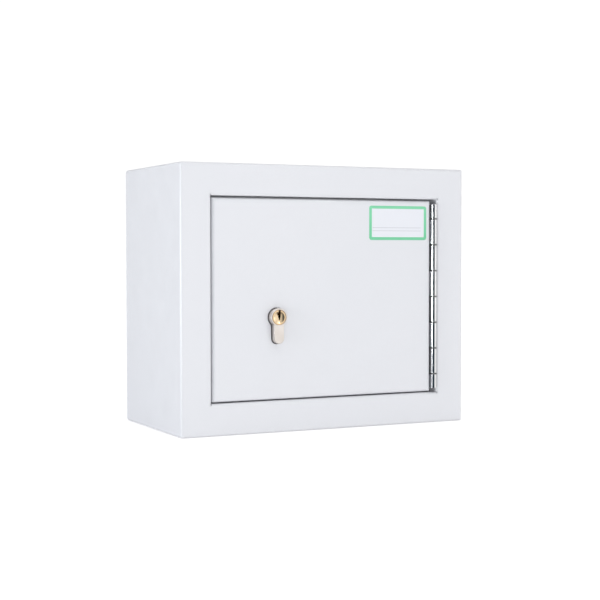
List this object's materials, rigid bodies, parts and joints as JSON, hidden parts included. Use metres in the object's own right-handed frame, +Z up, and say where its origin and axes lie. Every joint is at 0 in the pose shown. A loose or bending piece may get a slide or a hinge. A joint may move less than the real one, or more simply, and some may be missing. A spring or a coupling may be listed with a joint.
{
  "type": "lockable medicine cabinet",
  "caption": "Wall cabinet of folded white sheet steel with a flush door on a long barrel hinge, a key cylinder that throws a bolt, and a shelf inside.",
  "frame": {"origin": "middle of the four wall fixing holes, on the outer face of the back panel", "axes": "+X to the right seen from the front, +Y out of the back into the wall, +Z up"},
  "size_m": [0.3, 0.1549, 0.25],
  "materials": {
    "paint": "smooth light grey-white powder coat, satin",
    "zinc": "bright zinc plate",
    "nickel": "satin nickel plate",
    "brass": "turned brass",
    "steel": "plain ground steel",
    "rubber": "matt black rubber"
  },
  "bodies": {
    "cabinet": {"body_shell": "paint", "back_panel": "paint", "shelf": "paint", "shelf_rail_left": "paint", "shelf_rail_right": "paint", "door_buffers": "rubber", "hinge_frame_leaf": "zinc", "hinge_pin": "steel", "frame_rivets": "zinc"},
    "door": {"door_skin": "paint", "door_panel": "paint", "hinge_door_leaf": "zinc", "door_rivets": "zinc", "lock_case": "zinc", "lock_cover": "zinc", "case_screws": "zinc", "bolt_stud": "steel", "detent_spring": "steel", "cylinder_body": "nickel", "cylinder_screw": "zinc", "driver_pins": "brass", "pin_springs": "steel"},
    "lock_plug": {"plug": "brass", "key_pins": "brass", "cam": "steel", "plug_clip": "steel"},
    "lock_bolt": {"bolt": "steel"}
  },
  "joints": [
    {"name": "door_hinge", "type": "hinge", "parent": "cabinet", "child": "door", "pos_m": [0.1166, -0.15, 0], "axis": [0, 0, 1], "range_deg": [0, 175]},
    {"name": "plug_turn", "type": "hinge", "parent": "door", "child": "lock_plug", "pos_m": [-0.0542, -0.1249, -0.0172], "axis": [0, -1, 0], "range_deg": [0, 90]},
    {"name": "bolt_slide", "type": "slide", "parent": "door", "child": "lock_bolt", "axis": [-1, 0, 0], "range_m": [0, 0.016]}
  ],
  "couplings": [
    {"joint": "plug_turn", "follows": "bolt_slide", "rad_per_m": 98.17}
  ]
}
